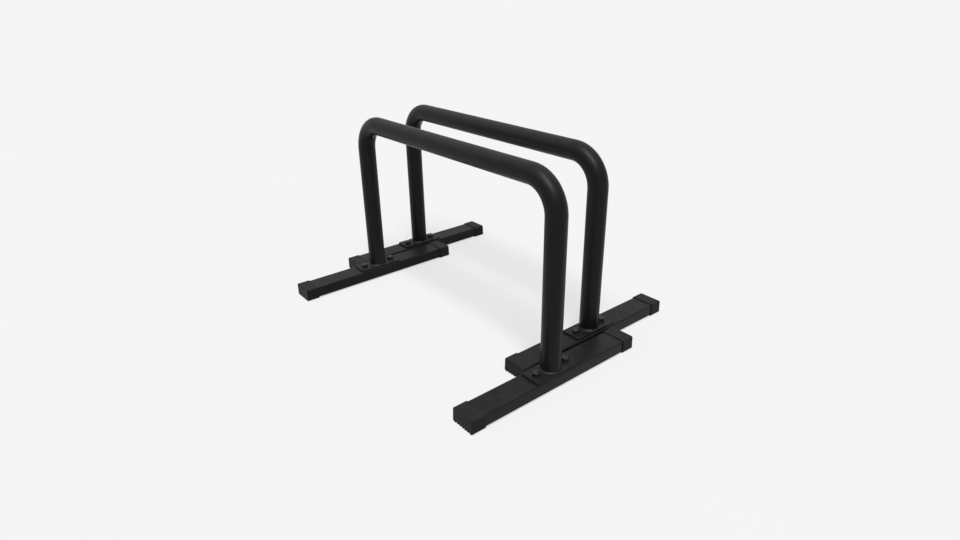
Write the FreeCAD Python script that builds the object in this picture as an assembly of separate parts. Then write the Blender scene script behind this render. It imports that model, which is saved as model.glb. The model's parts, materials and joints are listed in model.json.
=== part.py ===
import FreeCAD, Part
import math
import os

# A pair of low parallel bars. Lengths are in millimetres.
# X runs along the rails, Y along the feet, Z up from the floor.

# How the pair stands: the rear bar is set over by these two amounts
bar_stagger = 54.0
bar_spacing = 160.0

# Handle, one bent tube
leg_span = 597.0
rail_top_height = 391.0
tube_diameter = 38.0
tube_wall = 2.0
bend_radius = 60.0

# Base plate welded under each leg
plate_length = 104.0
plate_width = 43.0
plate_thickness = 4.0
plate_corner_radius = 2.5
plate_edge_chamfer = 0.5

# Weld bead round the foot of each leg
weld_leg = 3.0
weld_hollow = 0.4

# Foot, a flat rectangular tube under each leg
foot_length = 391.0
foot_width = 48.0
foot_height = 24.0
foot_wall = 2.0
foot_corner_radius = 2.8

# Rubber cap slipped over each end of a foot
cap_length = 28.0
cap_wall = 1.5
cap_sole = 2.0
cap_end_wall = 3.0
cap_top_radius = 3.2
cap_sole_radius = 4.0
cap_end_radius = 1.5
tread_ribs = 7
tread_depth = 1.2
tread_groove = 3.2

# Bolts that hold each plate down, with a washer above and a nut inside the foot
bolt_diameter = 8.0
bolt_length = 16.0
bolt_offset = 36.0
bolt_tip_chamfer = 1.0
hex_across_flats = 13.0
hex_chamfer = 0.9
head_height = 5.3
washer_diameter = 16.0
washer_thickness = 1.6
nut_height = 6.5
hole_clearance = 0.5
washer_clearance = 0.2
thread_clearance = 0.05

# One overrun serves all the cuts
overrun = 5.0

V = FreeCAD.Vector
UP = V(0, 0, 1)
ALONG = V(0, 1, 0)

# Heights that follow from the sizes above
foot_bottom = cap_sole
foot_top = foot_bottom + foot_height
plate_top = foot_top + plate_thickness
washer_top = plate_top + washer_thickness
nut_top = foot_top - foot_wall
rail_axis = rail_top_height - tube_diameter / 2
bend_start = rail_axis - bend_radius
tube_inner_radius = tube_diameter / 2 - tube_wall
hole_diameter = bolt_diameter + 2 * hole_clearance
bolt_places = [V(0, side * bolt_offset, 0) for side in (-1, 1)]


def outline_face(points, arcs):
    """Closed flat face: straight from point to point, with an arc where a middle point is given."""
    edges = []
    for index, start in enumerate(points):
        end = points[(index + 1) % len(points)]
        middle = arcs.get(index)
        if middle is None:
            edges.append(Part.LineSegment(start, end).toShape())
        else:
            edges.append(Part.Arc(start, middle, end).toShape())
    return Part.Face(Part.Wire(edges))


def rounded_section(width, low, high, low_radius, high_radius):
    """Upright rectangle across the foot, in the XZ plane, with its corners rounded."""
    half = width / 2
    corners = [(1, low, low_radius, -45), (1, high, high_radius, 45),
               (-1, high, high_radius, 135), (-1, low, low_radius, 225)]
    points = []
    arcs = {}
    for side, level, radius, angle in corners:
        inward = radius if level == low else -radius
        centre = V(side * (half - radius), 0, level + inward)
        arcs[len(points)] = centre + radius * V(math.cos(math.radians(angle)), 0, math.sin(math.radians(angle)))
        for turn in (-45, 45):
            reach = math.radians(angle + turn)
            points.append(centre + radius * V(math.cos(reach), 0, math.sin(reach)))
    return outline_face(points, arcs)


def bent_rod(radius):
    """Solid rod along the handle's line: up one leg, round the bend, along the rail and down again."""
    half = leg_span / 2
    bend_end = half - bend_radius
    mid_x = bend_end + bend_radius * math.cos(math.radians(45))
    mid_z = bend_start + bend_radius * math.sin(math.radians(45))
    foot_left = V(-half, 0, plate_top)
    shoulder_left = V(-half, 0, bend_start)
    rail_left = V(-bend_end, 0, rail_axis)
    rail_right = V(bend_end, 0, rail_axis)
    shoulder_right = V(half, 0, bend_start)
    foot_right = V(half, 0, plate_top)
    path = Part.Wire([
        Part.LineSegment(foot_left, shoulder_left).toShape(),
        Part.Arc(shoulder_left, V(-mid_x, 0, mid_z), rail_left).toShape(),
        Part.LineSegment(rail_left, rail_right).toShape(),
        Part.Arc(rail_right, V(mid_x, 0, mid_z), shoulder_right).toShape(),
        Part.LineSegment(shoulder_right, foot_right).toShape(),
    ])
    ring = Part.Wire([Part.makeCircle(radius, foot_left, UP)])
    return Part.Solid(path.makePipeShell([ring], True, False))


def make_handle():
    """Hollow bent tube that forms the rail and both legs."""
    return bent_rod(tube_diameter / 2).cut(bent_rod(tube_inner_radius))


def drill(shape, diameter, low, high):
    """Cut the bolt holes down through a shape."""
    for place in bolt_places:
        start = place + V(0, 0, low)
        shape = shape.cut(Part.makeCylinder(diameter / 2, high - low, start, UP))
    return shape


def make_plate():
    """Flat base plate with rounded corners, eased edges and its bolt holes."""
    blank = Part.makeBox(plate_width, plate_length, plate_thickness,
                         V(-plate_width / 2, -plate_length / 2, foot_top))
    upright = [edge for edge in blank.Edges if edge.BoundBox.ZLength > plate_thickness / 2]
    blank = blank.makeFillet(plate_corner_radius, upright)
    rim = [edge for edge in blank.Edges if edge.BoundBox.ZMin > foot_top + plate_thickness / 2]
    blank = blank.makeChamfer(plate_edge_chamfer, rim)
    return drill(blank, hole_diameter, foot_top - overrun, plate_top + overrun)


def make_weld():
    """Fillet weld, slightly hollow, turned round the foot of the leg."""
    inner = tube_diameter / 2
    corner = V(inner, 0, plate_top)
    toe = V(inner + weld_leg, 0, plate_top)
    top = V(inner, 0, plate_top + weld_leg)
    dip = (toe + top) / 2 - weld_hollow * V(1, 0, 1).normalize()
    section = outline_face([corner, toe, dip, top], {})
    return section.revolve(V(0, 0, 0), UP, 360)


def make_foot():
    """Rectangular tube, open at both ends, drilled through its top wall."""
    inner_radius = foot_corner_radius - foot_wall
    outside = rounded_section(foot_width, foot_bottom, foot_top, foot_corner_radius, foot_corner_radius)
    inside = rounded_section(foot_width - 2 * foot_wall, foot_bottom + foot_wall, foot_top - foot_wall,
                             inner_radius, inner_radius)
    tube = outside.cut(inside).extrude(foot_length * ALONG)
    tube.translate(-foot_length / 2 * ALONG)
    return drill(tube, hole_diameter, nut_top - nut_height, foot_top + overrun)


def make_cap():
    """Rubber cap for the foot's front end: rounded nose, socket for the tube, ribbed sole."""
    width = foot_width + 2 * cap_wall
    nose = -foot_length / 2 - cap_end_wall
    cap = rounded_section(width, 0, foot_top + cap_wall, cap_sole_radius, cap_top_radius)
    cap = cap.extrude(cap_length * ALONG)
    cap.translate(nose * ALONG)
    nose_edges = [edge for edge in cap.Edges
                  if edge.BoundBox.YMax < nose + cap_length / 2 and edge.BoundBox.ZMax > cap_sole_radius]
    cap = cap.makeFillet(cap_end_radius, nose_edges)
    socket = rounded_section(foot_width, foot_bottom, foot_top, foot_corner_radius, foot_corner_radius)
    socket = socket.extrude((cap_length + overrun) * ALONG)
    socket.translate(-foot_length / 2 * ALONG)
    cap = cap.cut(socket)
    pitch = (width - 2 * cap_sole_radius + tread_groove) / tread_ribs
    for gap in range(tread_ribs - 1):
        middle = (gap - (tread_ribs - 2) / 2) * pitch
        groove = Part.makeBox(tread_groove, cap_length + 2 * overrun, tread_depth + overrun,
                              V(middle - tread_groove / 2, nose - overrun, -overrun))
        cap = cap.cut(groove)
    return cap


def hex_prism(low, height):
    """Six-sided block with its top corners turned off."""
    corner = hex_across_flats / math.sqrt(3)
    points = [corner * V(math.cos(math.radians(60 * k)), math.sin(math.radians(60 * k)), 0) for k in range(6)]
    block = outline_face(points, {}).extrude(height * UP)
    turned = Part.makeCylinder(corner, height)
    rim = [edge for edge in turned.Edges if edge.BoundBox.ZMin > height / 2]
    block = block.common(turned.makeChamfer(hex_chamfer, rim))
    block.translate(low * UP)
    return block


def make_bolts():
    """Hex-head bolts, heads on the washers and tips through the nuts."""
    shank = Part.makeCylinder(bolt_diameter / 2, bolt_length, V(0, 0, washer_top - bolt_length), UP)
    tip = [edge for edge in shank.Edges if edge.BoundBox.ZMax < washer_top - bolt_length / 2]
    bolt = shank.makeChamfer(bolt_tip_chamfer, tip).fuse(hex_prism(washer_top, head_height)).removeSplitter()
    return [bolt.translated(place) for place in bolt_places]


def make_washers():
    """Flat washers under the bolt heads."""
    disc = Part.makeCylinder(washer_diameter / 2, washer_thickness, V(0, 0, plate_top), UP)
    bore = bolt_diameter / 2 + washer_clearance
    disc = disc.cut(Part.makeCylinder(bore, washer_thickness + 2 * overrun, V(0, 0, plate_top - overrun), UP))
    return [disc.translated(place) for place in bolt_places]


def make_nuts():
    """Hex nuts fixed under the foot's top wall, inside the tube."""
    block = hex_prism(nut_top - nut_height, nut_height)
    bore = bolt_diameter / 2 + thread_clearance
    height = nut_height + 2 * overrun
    nut = block.cut(Part.makeCylinder(bore, height, V(0, 0, nut_top - nut_height - overrun), UP))
    return [nut.translated(place) for place in bolt_places]


def foot_pieces():
    """All that sits under one leg, centred on the leg's axis."""
    toe_cap = make_cap()
    heel_cap = toe_cap.copy()
    heel_cap.rotate(V(0, 0, 0), UP, 180)
    return {
        "base_plate": [make_plate()],
        "weld_bead": [make_weld()],
        "foot_tube": [make_foot()],
        "toe_cap": [toe_cap],
        "heel_cap": [heel_cap],
        "bolts": make_bolts(),
        "washers": make_washers(),
        "nuts": make_nuts(),
    }


def save(name, solids, place):
    """Write one node's solids at their place in the pair."""
    moved = [solid.translated(place) for solid in solids]
    shape = moved[0] if len(moved) == 1 else Part.makeCompound(moved)
    shape.exportStep("parts/" + name + ".step")


def main():
    os.makedirs("parts", exist_ok=True)
    handle = make_handle()
    pieces = foot_pieces()
    bars = {"front": V(bar_stagger / 2, -bar_spacing / 2, 0), "rear": V(-bar_stagger / 2, bar_spacing / 2, 0)}
    for bar, middle in bars.items():
        save(bar + "_handle", [handle], middle)
        for side, sign in (("left", -1), ("right", 1)):
            leg = middle + V(sign * leg_span / 2, 0, 0)
            for piece, solids in pieces.items():
                save("_".join((bar, side, piece)), solids, leg)


main()
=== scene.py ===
import json
import math

import bpy
from mathutils import Matrix, Vector


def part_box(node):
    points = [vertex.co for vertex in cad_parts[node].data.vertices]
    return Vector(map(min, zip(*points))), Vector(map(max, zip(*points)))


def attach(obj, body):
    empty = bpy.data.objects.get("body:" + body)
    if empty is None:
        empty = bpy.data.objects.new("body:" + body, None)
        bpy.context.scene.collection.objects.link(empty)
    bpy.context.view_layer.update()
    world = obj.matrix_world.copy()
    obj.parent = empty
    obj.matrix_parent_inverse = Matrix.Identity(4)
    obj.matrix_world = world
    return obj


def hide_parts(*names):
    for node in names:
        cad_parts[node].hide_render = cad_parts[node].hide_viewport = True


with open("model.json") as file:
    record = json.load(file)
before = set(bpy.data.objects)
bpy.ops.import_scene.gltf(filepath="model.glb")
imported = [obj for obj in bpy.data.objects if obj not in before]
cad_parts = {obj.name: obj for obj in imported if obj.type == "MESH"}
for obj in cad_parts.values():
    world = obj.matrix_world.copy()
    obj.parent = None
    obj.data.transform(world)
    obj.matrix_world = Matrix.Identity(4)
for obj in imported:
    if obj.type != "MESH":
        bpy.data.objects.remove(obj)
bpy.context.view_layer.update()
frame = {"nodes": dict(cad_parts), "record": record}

# Lengths are in metres, in the frame's own axes: X along the rails, Y along the feet, Z up.
# A pair of numbers in brackets is a range. Angles are in degrees, apart from the turn of the streaks.
MM = 0.001
UNIT = (0.0, 1.0)
BARS = ("front", "rear")
SIDES = ("left", "right")

# Camera, from the outlines of the rails, legs and feet
CAMERA_PLACE = (0.96533, -0.75004, 0.6538)
CAMERA_AZIMUTH = 51.269
CAMERA_PITCH = 25.125
CAMERA_ROLL = -0.958
CAMERA_REACH = 200.0
FOCAL_PIXELS = 617.7
FRAME_PIXELS = 960
SENSOR_WIDTH = 36.0

# Soft lights: name, direction from the object to the light, strength, width of the light
SUNS = (
    ("overhead", (0.12, -0.3, 0.94), 1.55, 22),
    ("right", (0.45, -0.3, 0.84), 1.65, 22),
    ("left", (-0.8, -0.5, 0.33), 0.2, 60),
)

# Room: the light that it gives to matt surfaces, how bright its wall looks, and what its ceiling adds.
# Its heights run from 0 at the horizon to 1 overhead.
ROOM_FILL = 0.12
WALL_HEIGHTS = (0.0, 0.3)
WALL_LEVELS = (0.88, 0.45)
CEILING_HEIGHTS = (0.35, 0.62)
CEILING_ADDS = (0.0, 0.55)
WHITE = (1, 1, 1, 1)

# Floor: its colour and glow where it shows, and the part of the light that it gives back to the object
FLOOR_SIZE = 120.0
FLOOR_PALE = (0.39, 0.39, 0.39)
FLOOR_PALER = (0.395, 0.395, 0.395)
FLOOR_ROUGHNESS = 0.9
FLOOR_GLOW = 0.5
FLOOR_BOUNCE = (0.1, 0.1, 0.1)

# Patterns: the part of each noise that shows, the slopes that hold dust and painted top light, and the
# streaks' stretch and turn
MOTTLE_SPAN = (0.3, 0.7)
DUST_AND_TOP_LIGHT_SLOPES = (0.3, 1.0)
DUST_AND_TOP_LIGHT_SPAN = (0.35, 0.8)
STREAK_SPAN = (0.6, 0.78)
STREAK_STRETCH = (0.25, 1.0, 1.0)
STREAK_TURN = (0.3, 0.5, 0.4)

# Powder coat
COAT_DARK = (0.008, 0.008, 0.0082)
COAT_LIGHT = (0.0115, 0.0115, 0.0118)
COAT_RUBBED = (0.018, 0.018, 0.0185)
# Pale colour laid on upward faces: partly dust, partly painted light that lightens the tops
COAT_DUST_AND_TOP_LIGHT = (0.16, 0.155, 0.15)
COAT_GLOSS = 0.125
COAT_ROUGHNESS = (0.35, 0.41)
COAT_POLISH = 0.2
COAT_GRAIN = 0.12 * MM

# Rubber of the caps
RUBBER_DARK = (0.016, 0.016, 0.0163)
RUBBER_LIGHT = (0.022, 0.022, 0.0224)
# Pale colour laid on upward faces of the caps: partly dust, partly painted light that lightens the tops
RUBBER_DUST_AND_TOP_LIGHT = (0.17, 0.165, 0.16)
RUBBER_GLOSS = 0.085
RUBBER_ROUGHNESS = (0.5, 0.62)
RUBBER_GRAIN = 0.1 * MM

# Plated steel of the fasteners
STEEL_DARK = (0.046, 0.046, 0.0475)
STEEL_LIGHT = (0.065, 0.065, 0.067)
STEEL_RUBBED = (0.12, 0.12, 0.123)
STEEL_GLOSS = 0.5
STEEL_ROUGHNESS = (0.36, 0.46)
STEEL_GRAIN = 0.05 * MM

# Weld bead: a skirt between the leg and the plate, a little hollow, with the ripples of its passes
WELD_SINK = 0.15 * MM
WELD_SKIN = 0.5 * MM
WELD_STEPS = 252
WELD_CUTS = 7
WELD_RIPPLES = 63
WELD_CRESCENT = 0.6
WELD_HOLLOW = 0.4 * MM
WELD_RIPPLE_SHARE = 0.35
WELD_CREASE = 60

# Bolts, whose heads have the usual 30 degree chamfer and are each turned by another amount
HEAD_SIDES = 6
HEAD_HEIGHT = 5.3 * MM
HEAD_ACROSS_FLATS = 13.0 * MM
HEAD_FACE_SHARE = 0.95
HEAD_CHAMFER = 30
HEAD_EDGE = 0.16 * MM
HEAD_EDGE_ANGLE = 20
HEAD_TURNS = (11, 38, 52, 24, 5, 47, 19, 33)
BOLT_DIAMETER = 8.0 * MM
BOLT_TIP = 1.0 * MM

# Washers
WASHER_BORE = 8.4 * MM
WASHER_EDGE = 0.25 * MM
WASHER_EDGE_ANGLE = 40

# Both kinds of fastener
ROUND_STEPS = 64
FASTENER_CREASE = 35

# Rubber cap
CAP_WALL = 1.5 * MM
CAP_SOLE = 2.0 * MM
CAP_END_WALL = 3.0 * MM
CAP_TOP_RADIUS = 3.2 * MM
CAP_SOLE_RADIUS = 4.0 * MM
CAP_CORNER_STEPS = 6
CAP_NOSE_RADIUS = 1.5 * MM
CAP_NOSE_STEPS = 4
CAP_SOCKET_RADIUS = 2.8 * MM
CAP_SOCKET_STEPS = 4
CAP_MOUTH_GAP = 1.1 * MM
CAP_MOUTH_DEPTH = 1.8 * MM
CAP_RIBS = 7
CAP_GROOVE = 3.2 * MM
CAP_GROOVE_DEPTH = 1.2 * MM
CAP_NOTCH_LENGTH = 2.5 * MM
CAP_NOTCH_DEPTH = 2.3 * MM
CAP_EDGE = 0.3 * MM
CAP_EDGE_ANGLE = 50
CAP_CREASE = 40
CAP_FACE_WEIGHT = 100

# Modelling: steps of an eased edge, overrun of a cut, and how close counts as the same place
EDGE_STEPS = 2
CUT_OVERRUN = 5.0 * MM
NEAR = 0.01 * MM


def clear_selection():
    """Nothing selected, so that an operator works on new pieces only."""
    bpy.ops.object.select_all(action="DESELECT")


def socket_group(name, inputs, outputs):
    """Empty shader group with named value sockets; returns its tree and its two end nodes."""
    tree = bpy.data.node_groups.new(name, "ShaderNodeTree")
    for label, value in inputs.items():
        socket = tree.interface.new_socket(label, in_out="INPUT", socket_type="NodeSocketFloat")
        socket.default_value = value
    for label in outputs:
        tree.interface.new_socket(label, in_out="OUTPUT", socket_type="NodeSocketFloat")
    return tree, tree.nodes.new("NodeGroupInput"), tree.nodes.new("NodeGroupOutput")


def node(tree, kind, **values):
    """Shader node with some of its input sockets set by name."""
    made = tree.nodes.new(kind)
    for label, value in values.items():
        made.inputs[label.replace("_", " ")].default_value = value
    return made


def maths(tree, operation, first, second):
    """Math node; each side is a socket or a number."""
    made = tree.nodes.new("ShaderNodeMath")
    made.operation = operation
    for index, value in enumerate((first, second)):
        if isinstance(value, (int, float)):
            made.inputs[index].default_value = value
        else:
            tree.links.new(value, made.inputs[index])
    return made.outputs[0]


def seen_rays(tree):
    """1 for the rays that show the surroundings: from the camera, in gloss and through glass."""
    rays = tree.nodes.new("ShaderNodeLightPath")
    seen = maths(tree, "MAXIMUM", rays.outputs["Is Camera Ray"], rays.outputs["Is Glossy Ray"])
    return maths(tree, "MAXIMUM", seen, rays.outputs["Is Transmission Ray"])


def spread(tree, value, span, result):
    """Map a value from one range to another, clamped."""
    made = node(tree, "ShaderNodeMapRange", From_Min=span[0], From_Max=span[1],
                To_Min=result[0], To_Max=result[1])
    tree.links.new(value, made.inputs["Value"])
    return made.outputs["Result"]


def noise(tree, place, scale, detail, roughness):
    """Noise value on a place vector; scale is a socket."""
    made = node(tree, "ShaderNodeTexNoise", Detail=detail, Roughness=roughness)
    tree.links.new(place, made.inputs["Vector"])
    tree.links.new(scale, made.inputs["Scale"])
    return made.outputs["Fac"]


def grain_group():
    """Fine skin of a sprayed or moulded surface, as a height."""
    tree, start, end = socket_group("surface_grain", {"Scale": 900.0, "Pits": 0.4}, ["Height"])
    place = tree.nodes.new("ShaderNodeTexCoord").outputs["Object"]
    fine = noise(tree, place, start.outputs["Scale"], detail=4.0, roughness=0.6)
    cells = tree.nodes.new("ShaderNodeTexVoronoi")
    tree.links.new(place, cells.inputs["Vector"])
    tree.links.new(start.outputs["Scale"], cells.inputs["Scale"])
    pits = maths(tree, "MULTIPLY", cells.outputs["Distance"], start.outputs["Pits"])
    tree.links.new(maths(tree, "ADD", fine, pits), end.inputs["Height"])
    return tree


def mottle_group():
    """Slow uneven patches of a finish, from 0 to 1."""
    tree, start, end = socket_group("slow_mottle", {"Scale": 18.0}, ["Patch"])
    place = tree.nodes.new("ShaderNodeTexCoord").outputs["Object"]
    patch = noise(tree, place, start.outputs["Scale"], detail=5.0, roughness=0.55)
    tree.links.new(spread(tree, patch, MOTTLE_SPAN, UNIT), end.inputs["Patch"])
    return tree


def dust_and_top_light_group():
    """Fine dust on faces that look up, together with painted light that makes those upward faces lighter.
    """
    tree, start, end = socket_group("settled_dust_and_painted_top_light", {"Amount": 0.2, "Scale": 140.0}, ["Mask"])
    place = tree.nodes.new("ShaderNodeTexCoord").outputs["Object"]
    facing = tree.nodes.new("ShaderNodeSeparateXYZ")
    tree.links.new(tree.nodes.new("ShaderNodeNewGeometry").outputs["Normal"], facing.inputs[0])
    upward = spread(tree, facing.outputs["Z"], DUST_AND_TOP_LIGHT_SLOPES, UNIT)
    specks = noise(tree, place, start.outputs["Scale"], detail=6.0, roughness=0.7)
    # Upward faces get a paler colour: partly settled dust, partly painted light from overhead
    dust_and_lit_tops = maths(tree, "MULTIPLY", upward, spread(tree, specks, DUST_AND_TOP_LIGHT_SPAN, UNIT))
    tree.links.new(maths(tree, "MULTIPLY", dust_and_lit_tops, start.outputs["Amount"]), end.inputs["Mask"])
    return tree


def scuff_group():
    """Thin rubbed streaks, long in one direction."""
    tree, start, end = socket_group("rubbed_streaks", {"Amount": 0.3, "Scale": 60.0}, ["Mask"])
    place = tree.nodes.new("ShaderNodeTexCoord").outputs["Object"]
    stretch = node(tree, "ShaderNodeMapping", Scale=STREAK_STRETCH, Rotation=STREAK_TURN)
    tree.links.new(place, stretch.inputs["Vector"])
    streak = noise(tree, stretch.outputs["Vector"], start.outputs["Scale"], detail=8.0, roughness=0.75)
    mask = spread(tree, streak, STREAK_SPAN, UNIT)
    tree.links.new(maths(tree, "MULTIPLY", mask, start.outputs["Amount"]), end.inputs["Mask"])
    return tree


GRAIN = grain_group()
MOTTLE = mottle_group()
DUST_AND_TOP_LIGHT = dust_and_top_light_group()
SCUFF = scuff_group()


def placed(tree, group, **values):
    """A shared group placed in a material with its own values."""
    made = tree.nodes.new("ShaderNodeGroup")
    made.node_tree = group
    for label, value in values.items():
        made.inputs[label].default_value = value
    return made.outputs[0]


def mixed(tree, mask, first, second):
    """Colour mix; each side is a socket or an RGB triple."""
    made = tree.nodes.new("ShaderNodeMix")
    made.data_type = "RGBA"
    tree.links.new(mask, made.inputs["Factor"])
    for label, value in (("A", first), ("B", second)):
        socket = [s for s in made.inputs if s.name == label and s.type == "RGBA"][0]
        if isinstance(value, tuple):
            socket.default_value = (*value, 1.0)
        else:
            tree.links.new(value, socket)
    return [s for s in made.outputs if s.type == "RGBA"][0]


def finish_material(name, specular, metallic):
    """New material with its constant sockets set; returns it, its tree and its Principled shader."""
    material = bpy.data.materials.new(name)
    material.use_nodes = True
    shader = material.node_tree.nodes["Principled BSDF"]
    shader.inputs["Specular IOR Level"].default_value = specular
    shader.inputs["Metallic"].default_value = metallic
    return material, material.node_tree, shader


def bump(tree, shader, height, strength, distance):
    """Feed a height into the shader's normal."""
    made = node(tree, "ShaderNodeBump", Strength=strength, Distance=distance)
    tree.links.new(height, made.inputs["Height"])
    tree.links.new(made.outputs["Normal"], shader.inputs["Normal"])


def powder_coat():
    """Matt black powder coat with a fine sprayed skin, rubbed streaks, a little dust, and painted light
    that makes its upward faces lighter.
    """
    material, tree, shader = finish_material("powder_coat", specular=COAT_GLOSS, metallic=0.0)
    patch = placed(tree, MOTTLE, Scale=16.0)
    rub = placed(tree, SCUFF, Amount=0.25, Scale=70.0)
    # Dust on upward faces, with painted light that makes the tops lighter
    dust_and_top_light = placed(tree, DUST_AND_TOP_LIGHT, Amount=0.09, Scale=60.0)
    colour = mixed(tree, patch, COAT_DARK, COAT_LIGHT)
    colour = mixed(tree, rub, colour, COAT_RUBBED)
    colour = mixed(tree, dust_and_top_light, colour, COAT_DUST_AND_TOP_LIGHT)
    tree.links.new(colour, shader.inputs["Base Color"])
    skin = spread(tree, patch, UNIT, COAT_ROUGHNESS)
    polish = maths(tree, "MULTIPLY", rub, COAT_POLISH)
    tree.links.new(maths(tree, "SUBTRACT", skin, polish), shader.inputs["Roughness"])
    grain = placed(tree, GRAIN, Scale=1100.0, Pits=0.5)
    bump(tree, shader, grain, strength=0.35, distance=COAT_GRAIN)
    return material


def cap_rubber():
    """Matt moulded rubber, a little bloomed and dusty, with painted light that makes its upward faces
    lighter.
    """
    material, tree, shader = finish_material("cap_rubber", specular=RUBBER_GLOSS, metallic=0.0)
    patch = placed(tree, MOTTLE, Scale=45.0)
    # Dust on upward faces, with painted light that makes the cap tops lighter
    dust_and_top_light = placed(tree, DUST_AND_TOP_LIGHT, Amount=0.05, Scale=220.0)
    colour = mixed(tree, patch, RUBBER_DARK, RUBBER_LIGHT)
    colour = mixed(tree, dust_and_top_light, colour, RUBBER_DUST_AND_TOP_LIGHT)
    tree.links.new(colour, shader.inputs["Base Color"])
    tree.links.new(spread(tree, patch, UNIT, RUBBER_ROUGHNESS), shader.inputs["Roughness"])
    grain = placed(tree, GRAIN, Scale=1600.0, Pits=0.3)
    bump(tree, shader, grain, strength=0.3, distance=RUBBER_GRAIN)
    return material


def fastener_steel():
    """Dark zinc-plated steel of the bolts, washers and nuts."""
    material, tree, shader = finish_material("fastener_steel", specular=STEEL_GLOSS, metallic=1.0)
    patch = placed(tree, MOTTLE, Scale=320.0)
    rub = placed(tree, SCUFF, Amount=0.6, Scale=900.0)
    colour = mixed(tree, patch, STEEL_DARK, STEEL_LIGHT)
    colour = mixed(tree, rub, colour, STEEL_RUBBED)
    tree.links.new(colour, shader.inputs["Base Color"])
    tree.links.new(spread(tree, patch, UNIT, STEEL_ROUGHNESS), shader.inputs["Roughness"])
    grain = placed(tree, GRAIN, Scale=2600.0, Pits=0.2)
    bump(tree, shader, grain, strength=0.2, distance=STEEL_GRAIN)
    return material


MATERIALS = {"powder_coat": powder_coat(), "cap_rubber": cap_rubber(), "fastener_steel": fastener_steel()}


def dress(piece, material):
    """Give a piece one material."""
    piece.data.materials.clear()
    piece.data.materials.append(material)


def dress_frame():
    """Every CAD node takes the material of its slot."""
    for part in frame["record"]["subparts"]:
        dress(frame["nodes"][part["node"]], MATERIALS[part["material_slot"]])


def fixed_piece(name):
    """Name the primitive just added and put its place and size into its mesh."""
    piece = bpy.context.object
    piece.name = name
    bpy.ops.object.transform_apply(location=True, rotation=True, scale=True)
    return piece


def block(name, low, high):
    """Block between two corners."""
    clear_selection()
    bpy.ops.mesh.primitive_cube_add(size=1, location=(low + high) / 2, scale=high - low)
    return fixed_piece(name)


def pillar(name, radius, low, high, vertices):
    """Upright round or many-sided bar between two points."""
    clear_selection()
    bpy.ops.mesh.primitive_cylinder_add(vertices=vertices, radius=radius, depth=high.z - low.z,
                                        location=(low + high) / 2)
    return fixed_piece(name)


def select_edges(piece, wanted):
    """Go into edit mode with only the edges selected whose two ends pass a test."""
    bpy.context.tool_settings.mesh_select_mode = (False, True, False)
    bpy.ops.object.mode_set(mode="EDIT")
    bpy.ops.mesh.select_all(action="DESELECT")
    bpy.ops.object.mode_set(mode="OBJECT")
    points = piece.data.vertices
    for edge in piece.data.edges:
        first, second = (points[index].co for index in edge.vertices)
        edge.select = wanted(first, second)
    bpy.ops.object.mode_set(mode="EDIT")


def round_edges(piece, wanted, radius, steps):
    """Bevel the edges whose two ends pass a test."""
    select_edges(piece, wanted)
    bpy.ops.mesh.bevel(offset=radius, segments=steps, affect="EDGES")
    bpy.ops.object.mode_set(mode="OBJECT")


def apply_modifier(piece, kind, **values):
    """Add one modifier with its values and apply it."""
    modifier = piece.modifiers.new(kind.lower(), kind)
    for label, value in values.items():
        setattr(modifier, label, value)
    bpy.context.view_layer.objects.active = piece
    bpy.ops.object.modifier_apply(modifier=modifier.name)


def ease_edges(piece, width, angle):
    """Round over every edge that turns by more than an angle."""
    apply_modifier(piece, "BEVEL", width=width, segments=EDGE_STEPS, limit_method="ANGLE",
                   angle_limit=math.radians(angle))


def carve(piece, cutter, operation):
    """Cut one piece by another, and delete the cutter."""
    apply_modifier(piece, "BOOLEAN", operation=operation, object=cutter, solver="EXACT")
    bpy.data.objects.remove(cutter)


def smooth(piece, angle):
    """Smooth shading, with creases kept above an angle."""
    clear_selection()
    piece.select_set(True)
    bpy.context.view_layer.objects.active = piece
    bpy.ops.object.shade_smooth_by_angle(angle=math.radians(angle))


def copied(master, name, turn, place):
    """Copy with its own mesh, turned about the upright axis through the origin, then moved to its place."""
    piece = master.copy()
    piece.data = master.data.copy()
    piece.name = name
    piece.data.transform(Matrix.Translation(place) @ Matrix.Rotation(math.radians(turn), 4, "Z"))
    bpy.context.scene.collection.objects.link(piece)
    return piece


def joined(pieces, name):
    """Several pieces as one."""
    clear_selection()
    for piece in pieces:
        piece.select_set(True)
    bpy.context.view_layer.objects.active = pieces[0]
    bpy.ops.object.join()
    pieces[0].name = name
    return pieces[0]


def seat(piece, bar, node_name, slot):
    """A finished piece takes a CAD node's place, body and finish."""
    dress(piece, MATERIALS[slot])
    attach(piece, bar + "_bar")
    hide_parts(node_name)


def middle_of(node_name):
    """Middle of a node's footprint, at its lowest level."""
    low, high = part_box(node_name)
    middle = (low + high) / 2
    return Vector((middle.x, middle.y, low.z))


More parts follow.
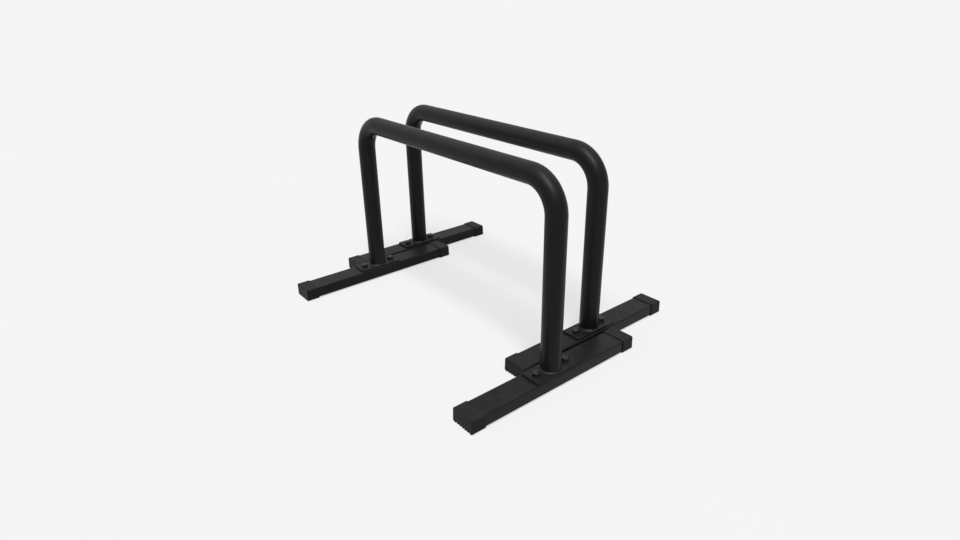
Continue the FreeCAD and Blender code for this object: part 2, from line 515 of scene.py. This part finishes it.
def weld_master():
    """Fillet weld round a leg's foot, its ripples bowed as the molten pool leaves them."""
    low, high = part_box("front_left_weld_bead")
    reach = high.z - low.z
    outer = (high.x - low.x) / 2
    inner = outer - reach - WELD_SINK
    clear_selection()
    bpy.ops.mesh.primitive_cone_add(vertices=WELD_STEPS, radius1=outer, radius2=inner, depth=reach,
                                    end_fill_type="NOTHING", location=(0, 0, reach / 2))
    bead = fixed_piece("weld_master")
    select_edges(bead, lambda a, b: abs(a.z - b.z) > NEAR)
    bpy.ops.mesh.subdivide(number_cuts=WELD_CUTS)
    bpy.ops.object.mode_set(mode="OBJECT")
    hollow = bead.vertex_groups.new(name="hollow")
    for point in bead.data.vertices:
        around = math.atan2(point.co.y, point.co.x)
        climb = point.co.z / reach
        belly = 4 * climb * (1 - climb)
        pass_wave = 0.5 + 0.5 * math.cos(WELD_RIPPLES * around + WELD_CRESCENT * belly * math.pi)
        weight = (1 - WELD_RIPPLE_SHARE) * belly + WELD_RIPPLE_SHARE * pass_wave
        hollow.add([point.index], weight, "REPLACE")
    apply_modifier(bead, "DISPLACE", vertex_group="hollow", strength=-WELD_HOLLOW, mid_level=0.0)
    apply_modifier(bead, "SOLIDIFY", thickness=WELD_SKIN, offset=-1.0)
    smooth(bead, WELD_CREASE)
    return bead


def bolt_master():
    """Hex-head bolt, its head's underside at the origin."""
    up = Vector((0, 0, 1))
    corner = HEAD_ACROSS_FLATS / math.sqrt(3)
    face = HEAD_FACE_SHARE * HEAD_ACROSS_FLATS / 2
    depth = HEAD_HEIGHT + CUT_OVERRUN
    flare = face + depth / math.tan(math.radians(HEAD_CHAMFER))
    bolt = pillar("bolt_master", corner, 0 * up, depth * up, HEAD_SIDES)
    clear_selection()
    bpy.ops.mesh.primitive_cone_add(vertices=ROUND_STEPS, radius1=flare, radius2=face, depth=depth,
                                    location=(HEAD_HEIGHT - depth / 2) * up)
    carve(bolt, fixed_piece("head_cutter"), "INTERSECT")
    ease_edges(bolt, HEAD_EDGE, HEAD_EDGE_ANGLE)
    low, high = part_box("front_left_bolts")
    tip = low.z - high.z + HEAD_HEIGHT
    shank = pillar("shank", BOLT_DIAMETER / 2, tip * up, HEAD_EDGE * up, ROUND_STEPS)
    round_edges(shank, lambda a, b: max(a.z, b.z) < tip + NEAR, BOLT_TIP, 1)
    bolt = joined([bolt, shank], "bolt_master")
    smooth(bolt, FASTENER_CREASE)
    return bolt


def washer_master():
    """Flat washer with eased edges, its underside at the origin."""
    low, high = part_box("front_left_washers")
    outer = (high.x - low.x) / 2
    height = high.z - low.z
    clear_selection()
    bpy.ops.mesh.primitive_cylinder_add(vertices=ROUND_STEPS, radius=outer, depth=height,
                                        end_fill_type="NOTHING", location=(0, 0, height / 2))
    ring = fixed_piece("washer_master")
    apply_modifier(ring, "SOLIDIFY", thickness=outer - WASHER_BORE / 2, offset=-1.0)
    ease_edges(ring, WASHER_EDGE, WASHER_EDGE_ANGLE)
    smooth(ring, FASTENER_CREASE)
    return ring


def runs_along_foot(a, b):
    """Test for an edge that runs along Y, from its two ends."""
    return abs(a.x - b.x) < NEAR and abs(a.z - b.z) < NEAR


def cap_master():
    """Moulded rubber cap with its footprint's middle at the origin.

    A rounded block gets a socket for the foot, a thin lip at the mouth, and a ribbed sole whose grooves
    deepen at the nose.
    """
    low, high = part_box("front_left_toe_cap")
    size = high - low
    side = size.x / 2
    nose = -size.y / 2
    past_mouth = -nose + CUT_OVERRUN
    cap = block("cap_master", Vector((-side, nose, 0)), Vector((side, -nose, size.z)))
    round_edges(cap, lambda a, b: runs_along_foot(a, b) and a.z < NEAR, CAP_SOLE_RADIUS, CAP_CORNER_STEPS)
    round_edges(cap, lambda a, b: runs_along_foot(a, b) and a.z > size.z - NEAR, CAP_TOP_RADIUS,
                CAP_CORNER_STEPS)
    round_edges(cap, lambda a, b: max(a.y, b.y) < nose + NEAR and max(a.z, b.z) > CAP_SOLE_RADIUS + NEAR,
                CAP_NOSE_RADIUS, CAP_NOSE_STEPS)
    socket_side = side - CAP_WALL
    socket_top = size.z - CAP_WALL
    socket = block("socket", Vector((-socket_side, nose + CAP_END_WALL, CAP_SOLE)),
                   Vector((socket_side, past_mouth, socket_top)))
    round_edges(socket, runs_along_foot, CAP_SOCKET_RADIUS, CAP_SOCKET_STEPS)
    carve(cap, socket, "DIFFERENCE")
    mouth_side = socket_side + CAP_MOUTH_GAP
    mouth = block("mouth", Vector((-mouth_side, -nose - CAP_MOUTH_DEPTH, CAP_SOLE)),
                  Vector((mouth_side, past_mouth, socket_top + CAP_MOUTH_GAP)))
    round_edges(mouth, runs_along_foot, CAP_SOCKET_RADIUS, CAP_SOCKET_STEPS)
    carve(cap, mouth, "DIFFERENCE")
    pitch = (size.x - 2 * CAP_SOLE_RADIUS + CAP_GROOVE) / CAP_RIBS
    cuts = ((past_mouth, CAP_GROOVE_DEPTH), (nose + CAP_NOTCH_LENGTH, CAP_NOTCH_DEPTH))
    for gap in range(CAP_RIBS - 1):
        middle = (gap - (CAP_RIBS - 2) / 2) * pitch
        for end, depth in cuts:
            groove = block("groove", Vector((middle - CAP_GROOVE / 2, nose - CUT_OVERRUN, -CUT_OVERRUN)),
                           Vector((middle + CAP_GROOVE / 2, end, depth)))
            carve(cap, groove, "DIFFERENCE")
    ease_edges(cap, CAP_EDGE, CAP_EDGE_ANGLE)
    smooth(cap, CAP_CREASE)
    apply_modifier(cap, "WEIGHTED_NORMAL", keep_sharp=True, weight=CAP_FACE_WEIGHT)
    return cap


def fit_out():
    """Weld beads, bolts, washers and caps at every leg, each from one master."""
    weld = weld_master()
    bolt = bolt_master()
    washer = washer_master()
    cap = cap_master()
    turns = iter(HEAD_TURNS)
    for bar in BARS:
        for end in SIDES:
            leg = bar + "_" + end + "_"
            bead = copied(weld, leg + "weld", 0, middle_of(leg + "weld_bead"))
            seat(bead, bar, leg + "weld_bead", "powder_coat")
            for kind, turn in (("toe_cap", 0), ("heel_cap", 180)):
                moulded = copied(cap, leg + kind + "_moulded", turn, middle_of(leg + kind))
                seat(moulded, bar, leg + kind, "cap_rubber")
            low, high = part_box(leg + "washers")
            reach = (high.x - low.x) / 2
            spots = [Vector((low.x + reach, y, low.z)) for y in (low.y + reach, high.y - reach)]
            rings = [copied(washer, "ring", 0, spot) for spot in spots]
            seat(joined(rings, leg + "washer_pair"), bar, leg + "washers", "fastener_steel")
            lift = Vector((0, 0, high.z - low.z))
            heads = [copied(bolt, "head", next(turns), spot + lift) for spot in spots]
            seat(joined(heads, leg + "bolt_pair"), bar, leg + "bolts", "fastener_steel")
    for master in (weld, bolt, washer, cap):
        bpy.data.objects.remove(master)


def floor():
    """Plain pale floor that runs to the horizon."""
    clear_selection()
    bpy.ops.mesh.primitive_plane_add(size=FLOOR_SIZE, location=(0, 0, 0))
    plane = bpy.context.object
    plane.name = "floor"
    material, tree, shader = finish_material("pale_floor", specular=0.0, metallic=0.0)
    shader.inputs["Roughness"].default_value = FLOOR_ROUGHNESS
    patch = placed(tree, MOTTLE, Scale=2.0)
    seen = seen_rays(tree)
    pale = mixed(tree, patch, FLOOR_PALE, FLOOR_PALER)
    tree.links.new(mixed(tree, seen, FLOOR_BOUNCE, pale), shader.inputs["Base Color"])
    shader.inputs["Emission Color"].default_value = WHITE
    tree.links.new(maths(tree, "MULTIPLY", seen, FLOOR_GLOW), shader.inputs["Emission Strength"])
    dress(plane, material)


def sun(name, direction, strength, width):
    """Far soft light; direction points from the object to the light."""
    lamp = bpy.data.lights.new(name, "SUN")
    lamp.energy = strength
    lamp.angle = math.radians(width)
    holder = bpy.data.objects.new(name, lamp)
    holder.rotation_euler = Vector(direction).to_track_quat("Z", "Y").to_euler()
    bpy.context.scene.collection.objects.link(holder)


def studio():
    """Soft light from overhead and above the right legs, a little from the left, and a pale room."""
    for name, direction, strength, width in SUNS:
        sun(name, direction, strength, width)
    world = bpy.data.worlds.new("room")
    bpy.context.scene.world = world
    world.use_nodes = True
    tree = world.node_tree
    background = tree.nodes["Background"]
    background.inputs["Color"].default_value = WHITE
    height = tree.nodes.new("ShaderNodeSeparateXYZ")
    tree.links.new(tree.nodes.new("ShaderNodeTexCoord").outputs["Generated"], height.inputs[0])
    wall = spread(tree, height.outputs["Z"], WALL_HEIGHTS, WALL_LEVELS)
    ceiling = spread(tree, height.outputs["Z"], CEILING_HEIGHTS, CEILING_ADDS)
    shown = maths(tree, "SUBTRACT", maths(tree, "ADD", wall, ceiling), ROOM_FILL)
    level = maths(tree, "MULTIPLY", seen_rays(tree), shown)
    tree.links.new(maths(tree, "ADD", level, ROOM_FILL), background.inputs["Strength"])


def camera():
    """Camera at the photograph's place, angle and lens."""
    data = bpy.data.cameras.new("photo_camera")
    data.sensor_width = SENSOR_WIDTH
    data.lens = FOCAL_PIXELS * SENSOR_WIDTH / FRAME_PIXELS
    data.clip_end = CAMERA_REACH
    holder = bpy.data.objects.new("photo_camera", data)
    turn = Matrix.Rotation(math.radians(CAMERA_AZIMUTH), 4, "Z")
    tilt = Matrix.Rotation(math.radians(90 - CAMERA_PITCH), 4, "X")
    roll = Matrix.Rotation(math.radians(CAMERA_ROLL), 4, "Z")
    holder.matrix_world = Matrix.Translation(CAMERA_PLACE) @ turn @ tilt @ roll
    bpy.context.scene.collection.objects.link(holder)
    bpy.context.scene.camera = holder


dress_frame()
fit_out()
floor()
studio()
camera()
bpy.context.scene.view_settings.view_transform = "Standard"
